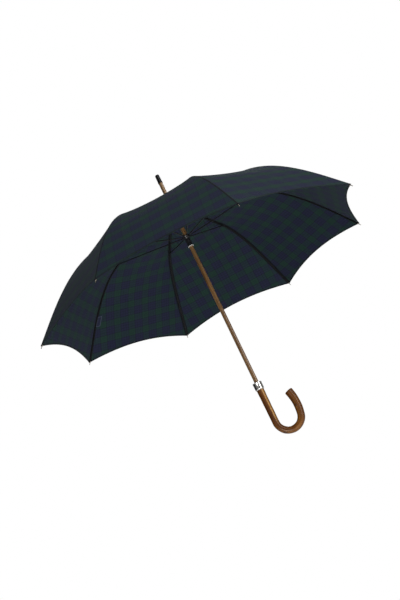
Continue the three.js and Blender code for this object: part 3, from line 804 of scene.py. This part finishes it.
def gore_point(k, length, across):
    """A point of gore k: across is 0 at rib k and 1 at the next one."""
    share = np.clip((length - CLOTH_START) / (CLOTH_END - CLOTH_START), 0, 1)
    dip = DIP * np.sin(math.pi * np.minimum(share / DIP_SHARE, 1)) * 4 * across * (1 - across)
    sunk, _ = rib_line(length, CLOTH_LIFT - dip)
    first, second = rib_azimuth(k), rib_azimuth(k + 1)
    x = sunk[..., 0] * ((1 - across) * math.cos(first) + across * math.cos(second))
    y = sunk[..., 0] * ((1 - across) * math.sin(first) + across * math.sin(second))
    return np.stack([x, y, sunk[..., 1]], -1)


def gore_normal(k, length, across):
    along_way = gore_point(k, length + 0.0005, across) - gore_point(k, length - 0.0005, across)
    cross_way = gore_point(k, length, across + 0.002) - gore_point(k, length, across - 0.002)
    normal = np.cross(along_way, cross_way)
    normal *= np.sign(normal[..., 2:] + 1e-12)
    return normal / np.linalg.norm(normal, axis=-1, keepdims=True)


def flex_edge(k, rib, flex, across):
    """The length on the gore, at each place across, that lies square to the rib at a flex."""
    trial = np.linspace(max(flex - 0.03, CLOTH_START), flex + 0.12, 400)
    at, way = rib_line(flex)
    turn = rib_azimuth(rib)
    joint = np.array([at[0] * math.cos(turn), at[0] * math.sin(turn), at[1]])
    ahead = np.array([way[0] * math.cos(turn), way[0] * math.sin(turn), way[1]])
    edges = []
    for place_across in across:
        reach = (gore_point(k, trial, np.full_like(trial, place_across)) - joint) @ ahead
        edges.append(np.interp(0, reach, trial))
    return np.array(edges)


def stretched_on(rib, first, last, side):
    """A way across the gore, square to a link and towards the gore's middle, and a point by the rib."""
    (start, _), (end, _) = rib_line(first), rib_line(last)
    chord = end - start
    chord = chord / np.linalg.norm(chord)
    turn = rib_azimuth(rib)
    outward = np.array([math.cos(turn), math.sin(turn), 0])
    around = np.array([-math.sin(turn), math.cos(turn), 0])
    rib_way = outward * chord[0] + np.array([0, 0, chord[1]])
    half = GORE_ANGLE / 2
    to_middle = outward * -(math.sin(half) ** 2) + around * side * math.sin(half) * math.cos(half)
    gather = to_middle - rib_way * (to_middle @ rib_way)
    middle, _ = rib_line((first + last) / 2)
    sag = ((start + end) / 2 + middle) / 2
    anchor = outward * sag[0] + np.array([0, 0, sag[1]])
    return tuple(gather / np.linalg.norm(gather)), tuple(anchor)


def weave_length(k):
    """Length down the middle of a gore, in metres, against length on the rib."""
    stations = np.linspace(CLOTH_START, RIB_LENGTH, 500)
    middle = gore_point(k, stations, np.full_like(stations, 0.5))
    return stations, np.concatenate([[0], np.cumsum(np.linalg.norm(np.diff(middle, axis=0), axis=1))])


tartan, place, surface = finish("tartan_cloth")
weave = place.node("UVMap", {"uv_map": "weave"}, {})
across_cloth, down_cloth = weave.part(0), weave.part(1)
edges = place.node("Attribute", {"attribute_name": "edges"}, {}, "Vector")
from_seam, from_hem, inside = (edges.part(i) for i in range(3))
NAVY = (0.014, 0.017, 0.046)
GREEN = (0.010, 0.036, 0.027)
# The black of the tartan's threads, also used for the painted shade at the seams and hem.
THREAD_BLACK_AND_SHADE = (0.005, 0.006, 0.008)
WARP_PITCH, WARP_START = 0.057, 0.0285
WEFT_PITCH, WEFT_START = 0.0502, 0.009
TWILL_LENGTH = 0.0011
STITCH_LENGTH = 0.0026


def sett(length, pitch, start):
    """One set of threads: green bands on navy, both edged and lined with black."""
    repeats = length / pitch - (start / pitch - 0.5)
    away = (repeats.maths("FRACT", repeats) - 0.5).absolute()
    green = away.step(0.225, 0.185)
    edge = away.band(0.235, 0.020, 0.020)
    tram = away.band(0.410, 0.016, 0.014)
    vein = away.band(0.060, 0.010, 0.010)
    ground = green.mix(NAVY, GREEN)
    return (edge * 0.85 + tram * 0.65 + vein * 0.45).mix(ground, THREAD_BLACK_AND_SHADE)


warp = sett(across_cloth, WARP_PITCH, WARP_START)
weft = sett(down_cloth, WEFT_PITCH, WEFT_START)
twill = (across_cloth + down_cloth).wave(TWILL_LENGTH)
crossing = 0.66 - inside * 0.13 + twill * 0.12
woven = crossing.mix(warp, weft)
slub = weave.noise(1400, 2, 0.6, (1, 0.12, 1)) + weave.noise(1400, 2, 0.6, (0.12, 1, 1))
woven = (slub.step(0.75, 1.3) * 0.35).mix(woven, THREAD_BLACK_AND_SHADE)
# Inside, a darker band each side of a rib: painted shade of the rib and the doubled cloth.
# On both faces, a darker band along the hem: painted shade of the folded hem.
# Outside, a dark line along each seam: partly the seam itself, partly painted shade.
seam_shade_out = from_seam.step(0.0032, 0.0018) * (1 - inside)
seam_shade_in = from_seam.step(SEAM_WIDTH + 0.0004, SEAM_WIDTH - 0.0004) * inside
hem = from_hem.step(HEM_WIDTH + 0.0003, HEM_WIDTH - 0.0003)
seam_dashes = down_cloth.wave(STITCH_LENGTH).step(-0.3, 0.2)
stitches = from_seam.band(0.0036, 0.00035, 0.0002) * seam_dashes
hem_dashes = across_cloth.wave(STITCH_LENGTH).step(-0.3, 0.2)
hem_stitches = from_hem.band(0.0048, 0.00035, 0.0002) * hem_dashes
# The painted shade at the seams and the hem is mixed in here.
painted_seam_and_hem_shade = (seam_shade_in * 0.85 + hem * 0.55 + seam_shade_out * 0.9).mix(woven, THREAD_BLACK_AND_SHADE)
sewn = (stitches + hem_stitches).mix(painted_seam_and_hem_shade, (0.012, 0.016, 0.022))
pucker = weave.noise(160, 3, 0.5) * (from_seam.step(0.03, 0.002) + from_hem.step(0.03, 0.002))
height = slub * 0.25 + twill * 0.22 + pucker * 1.4 - (stitches + hem_stitches) * 0.8
surface({
    "Base Color": sewn,
    "Roughness": 0.66 + slub * 0.10,
    "Normal": height.bump(0.35, 0.0003),
    "Sheen Weight": 0.05,
    "Sheen Roughness": 0.4,
    "Sheen Tint": (0.75, 0.85, 0.95),
    "Specular IOR Level": 0.15,
})


def two_faced(at):
    """Faces over a grid of point numbers, outer, inner and round the rim, and the kind of each."""
    count = at.size
    faces, kinds = [], []
    for i in range(at.shape[0] - 1):
        for j in range(at.shape[1] - 1):
            a, b, c, d = at[i, j], at[i, j + 1], at[i + 1, j + 1], at[i + 1, j]
            faces += [(a, d, c, b), (a + count, b + count, c + count, d + count)]
            kinds += ["outer", "inner"]
    rim = list(at[0, :]) + list(at[1:, -1]) + list(at[-1, -2::-1]) + list(at[-2:0:-1, 0])
    for a, b in zip(rim, rim[1:] + rim[:1]):
        faces.append((a, b, b + count, a + count))
        kinds.append("rim")
    return [tuple(map(int, face)) for face in faces], kinds


def with_weave(mesh, weave_uv, marks):
    """The weave's map, and each point's distance from the seam and the hem and its side."""
    corner_points = np.zeros(len(mesh.loops), int)
    mesh.loops.foreach_get("vertex_index", corner_points)
    uv = mesh.uv_layers.new(name="weave")
    uv.data.foreach_set("uv", weave_uv[corner_points % len(weave_uv)].astype(np.float32).ravel())
    edge_marks = mesh.attributes.new("edges", "FLOAT_VECTOR", "POINT")
    edge_marks.data.foreach_set("vector", marks.astype(np.float32).ravel())


def cloth_piece(name, k, top, bottom, across, rows):
    """One stretch of half a gore: two faces of cloth, thicker at the seam and the hem."""
    down = np.linspace(0, 1, rows + 1)[:, None]
    lengths = top[None, :] * (1 - down) + bottom[None, :] * down
    places = np.repeat(across[None, :], rows + 1, 0)
    middle = gore_point(k, lengths, places)
    normal = gore_normal(k, lengths, np.clip(places, NEAR_EDGE, 1 - NEAR_EDGE))
    rib_side = np.minimum(places, 1 - places)
    radius = np.hypot(middle[..., 0], middle[..., 1])
    seam = rib_side * 2 * radius * math.sin(GORE_ANGLE / 2) / np.cos(GORE_ANGLE / 2 * (1 - 2 * rib_side))
    to_hem = hem_length(places) - lengths
    hem_fold = HEM_STEP * (to_hem < HEM_WIDTH)
    over = CLOTH / 2 + SEAM_STEP * np.clip(1.8 - seam / 0.0011, 0, 1) + hem_fold
    under = CLOTH / 2 + SEAM_STEP * (seam < SEAM_WIDTH) + hem_fold
    outer = middle + normal * over[..., None]
    inner = middle - normal * under[..., None]
    stations, run = weave_length(k)
    v = np.interp(lengths, stations, run)
    spread_at = 2 * rib_line(lengths, CLOTH_LIFT)[0][..., 0] * math.sin(GORE_ANGLE / 2)
    u = (places - 0.5) * spread_at - WEAVE_SHIFT[k]
    faces, kinds = two_faced(np.arange(places.size).reshape(places.shape))
    points = np.concatenate([outer.reshape(-1, 3), inner.reshape(-1, 3)])
    mesh = bpy.data.meshes.new(name)
    mesh.from_pydata(points.tolist(), [], faces)
    way = normal.reshape(-1, 3)
    if np.array(mesh.polygons[0].normal) @ way[0] < 0:
        mesh.flip_normals()
    marks = np.stack([seam.ravel(), to_hem.ravel(), np.zeros(places.size)], 1)
    with_weave(mesh, np.stack([u.ravel(), v.ravel()], 1), np.concatenate([marks, marks + [0, 0, 1]]))
    both = np.concatenate([way, -way])
    corners = np.zeros((len(mesh.loops), 3))
    for face, kind in zip(mesh.polygons, kinds):
        face.use_smooth = True
        for loop in face.loop_indices:
            corners[loop] = face.normal if kind == "rim" else both[mesh.loops[loop].vertex_index]
    mesh.normals_split_custom_set(corners.tolist())
    piece = bpy.data.objects.new(name, mesh)
    bpy.context.scene.collection.objects.link(piece)
    painted(piece, tartan)
    diagonals = middle[1:, 1:] - middle[:-1, :-1], middle[1:, :-1] - middle[:-1, 1:]
    area = float(np.linalg.norm(np.cross(*diagonals), axis=-1).sum() / 2)
    return piece, area, middle


for k in range(RIBS):
    for half, (rib, side) in enumerate(((k, -1), ((k + 1) % RIBS, 1))):
        spread = np.linspace(0, 0.5, COLUMNS + 1)
        across = spread if half == 0 else 1 - spread[::-1]
        start = np.full(COLUMNS + 1, CLOTH_START)
        first = flex_edge(k, rib, FIRST_FLEX, across)
        second = flex_edge(k, rib, SECOND_FLEX, across)
        hem_edge = hem_length(across)
        for link, carrier, top, bottom, rows, bounds in (
            ("arm", "rib_inner", start, first, 26, (0, FIRST_FLEX)),
            ("bend", "rib_middle_bar", first, second, 20, (FIRST_FLEX, SECOND_FLEX)),
            ("end", "rib_outer_bar", second, hem_edge, 22, (SECOND_FLEX, RIB_LENGTH)),
        ):
            name = f"canopy_{k + 1}_{'left' if half == 0 else 'right'}_{link}"
            piece, area, middle = cloth_piece(name, k, top, bottom, across, rows)
            body = f"rib_{rib + 1}_{link}"
            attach(piece, body)
            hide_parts(f"canopy_{k + 1}")
            width = float(np.linalg.norm(middle[:, -1] - middle[:, 0], axis=1).max())
            length = max(area / width * 1.02, float((bottom - top).max()))
            under = f"{carrier}_{rib + 1}"
            axis, anchor = stretched_on(rib, *bounds, side)
            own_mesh(piece)


# ---- Strap, stud and label ----
# A tartan closing strap is sewn into the seam of the fourth rib and lies across the gore above the
# hem, with a nickel press stud near its free end. Under the second gore a small plain navy label is
# sewn beside the rib.
STRAP_SIZE = (0.170, 0.024)
STRAP_THICK = 0.0011
STRAP_LIFT = 0.0013
STRAP_ABOVE_HEM = 0.008
STRAP_TOP = CLOTH_END - SCALLOP - STRAP_ABOVE_HEM - STRAP_SIZE[1]
STRAP_FROM_RIB = 0.007
STUD_FROM_END = 0.014
STUD_LIFT = 0.0022
LABEL_SIZE = (0.016, 0.034)
LABEL_THICK = 0.0008
LABEL_LIFT = -0.0016
LABEL_ABOVE_HEM = 0.154
LABEL_TOP = CLOTH_END - LABEL_ABOVE_HEM
LABEL_FROM_RIB = 0.0035


def on_gore(k, length, across, lift):
    """A point over or under a gore, and the way out of it: across is a length from rib k."""
    share = across / (2 * math.sin(GORE_ANGLE / 2) * rib_line(length)[0][..., 0])
    middle = gore_point(k, length, share)
    normal = gore_normal(k, length, np.clip(share, NEAR_EDGE, 1 - NEAR_EDGE))
    return middle + normal * np.asarray(lift)[..., None], normal


def flat_cloth(name, k, lengths, across, lift, thick, material):
    """A small piece of cloth that follows a gore, with stitched, rounded-off edges."""
    places = np.repeat(across[None, :], len(lengths), 0)
    downs = np.repeat(lengths[:, None], len(across), 1)
    edge_near = np.minimum(
        np.minimum(places - across[0], across[-1] - places),
        np.minimum(downs - lengths[0], lengths[-1] - downs),
    )
    lay = lift + 0.0005 * np.sin(places * 75 + 0.6) ** 2 * np.clip(edge_near / 0.004, 0, 1)
    swell = thick * (0.55 + 0.45 * np.clip(edge_near / 0.0008, 0, 1))
    top, normal = on_gore(k, downs, places, lay)
    faces, _ = two_faced(np.arange(places.size).reshape(places.shape))
    over = (top + normal * swell[..., None] / 2).reshape(-1, 3)
    under = (top - normal * swell[..., None] / 2).reshape(-1, 3)
    mesh = bpy.data.meshes.new(name)
    mesh.from_pydata(np.concatenate([over, under]).tolist(), [], faces)
    weave_uv = np.stack([places.ravel() - across[0], downs.ravel() - lengths[0]], 1)
    seam = np.full(places.size, 0.02)
    # The strap's edges read as a hem, so they take the tartan's painted hem shade and a stitch line.
    marks = np.stack([seam, edge_near.ravel() + 0.0030, np.zeros(places.size)], 1)
    with_weave(mesh, weave_uv, np.concatenate([marks, marks]))
    piece = bpy.data.objects.new(name, mesh)
    bpy.context.scene.collection.objects.link(piece)
    edit(piece)
    done(piece, 40)
    return painted(piece, material)


def with_gore(piece, rib):
    """The piece moves with a rib's outer stretch, on a mesh of its own."""
    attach(piece, f"rib_{rib + 1}_end")
    axis, anchor = stretched_on(rib, SECOND_FLEX, RIB_LENGTH, -1)
    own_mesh(piece)


strap_across = np.linspace(STRAP_FROM_RIB, STRAP_FROM_RIB + STRAP_SIZE[0], 60)
strap_down = np.linspace(STRAP_TOP, STRAP_TOP + STRAP_SIZE[1], 13)
strap = flat_cloth("closing_strap", 3, strap_down, strap_across, STRAP_LIFT, STRAP_THICK, tartan)
with_gore(strap, 3)
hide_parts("strap")

stud = turned("strap_press_stud", [
    (0.0064, 0.0), (0.0066, 0.0003), (0.0064, 0.0007), (0.0060, 0.0009), (0.0054, 0.0010),
    (0.0050, 0.0014), (0.0040, 0.0017), (0.0022, 0.0019), (0.0005, 0.00195),
], 40)
stud_down = np.array(STRAP_TOP + STRAP_SIZE[1] / 2)
stud_across = np.array(STRAP_FROM_RIB + STRAP_SIZE[0] - STUD_FROM_END)
stud_at, stud_out = on_gore(3, stud_down, stud_across, STUD_LIFT)
stud_turn = Vector(stud_out.tolist()).to_track_quat("Z", "Y").to_matrix().to_4x4()
stud.data.transform(Matrix.Translation(stud_at.tolist()) @ stud_turn)
painted(stud, nickel)
with_gore(stud, 3)
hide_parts("strap_stud")

label_cloth, place, surface = finish("label_cloth")
weave = place.node("UVMap", {"uv_map": "weave"}, {})
across_label, down_label = weave.part(0), weave.part(1)
ribs_of_weave = down_label.wave(0.0007)
border = across_label.band(0.008, 0.0062, 0.0002) * down_label.band(0.017, 0.0152, 0.0002)
surface({
    "Base Color": border.mix((0.05, 0.06, 0.10), (0.008, 0.011, 0.034)),
    "Roughness": 0.55 + ribs_of_weave * 0.05,
    "Normal": ribs_of_weave.bump(0.3, 0.0002),
    "Specular IOR Level": 0.2,
})
label_lengths = np.linspace(LABEL_TOP, LABEL_TOP + LABEL_SIZE[1], 13)
label_across = np.linspace(LABEL_FROM_RIB, LABEL_FROM_RIB + LABEL_SIZE[0], 9)
label = flat_cloth(
    "sewn_label", 1, label_lengths, label_across, LABEL_LIFT, LABEL_THICK, label_cloth)
with_gore(label, 1)
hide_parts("label")
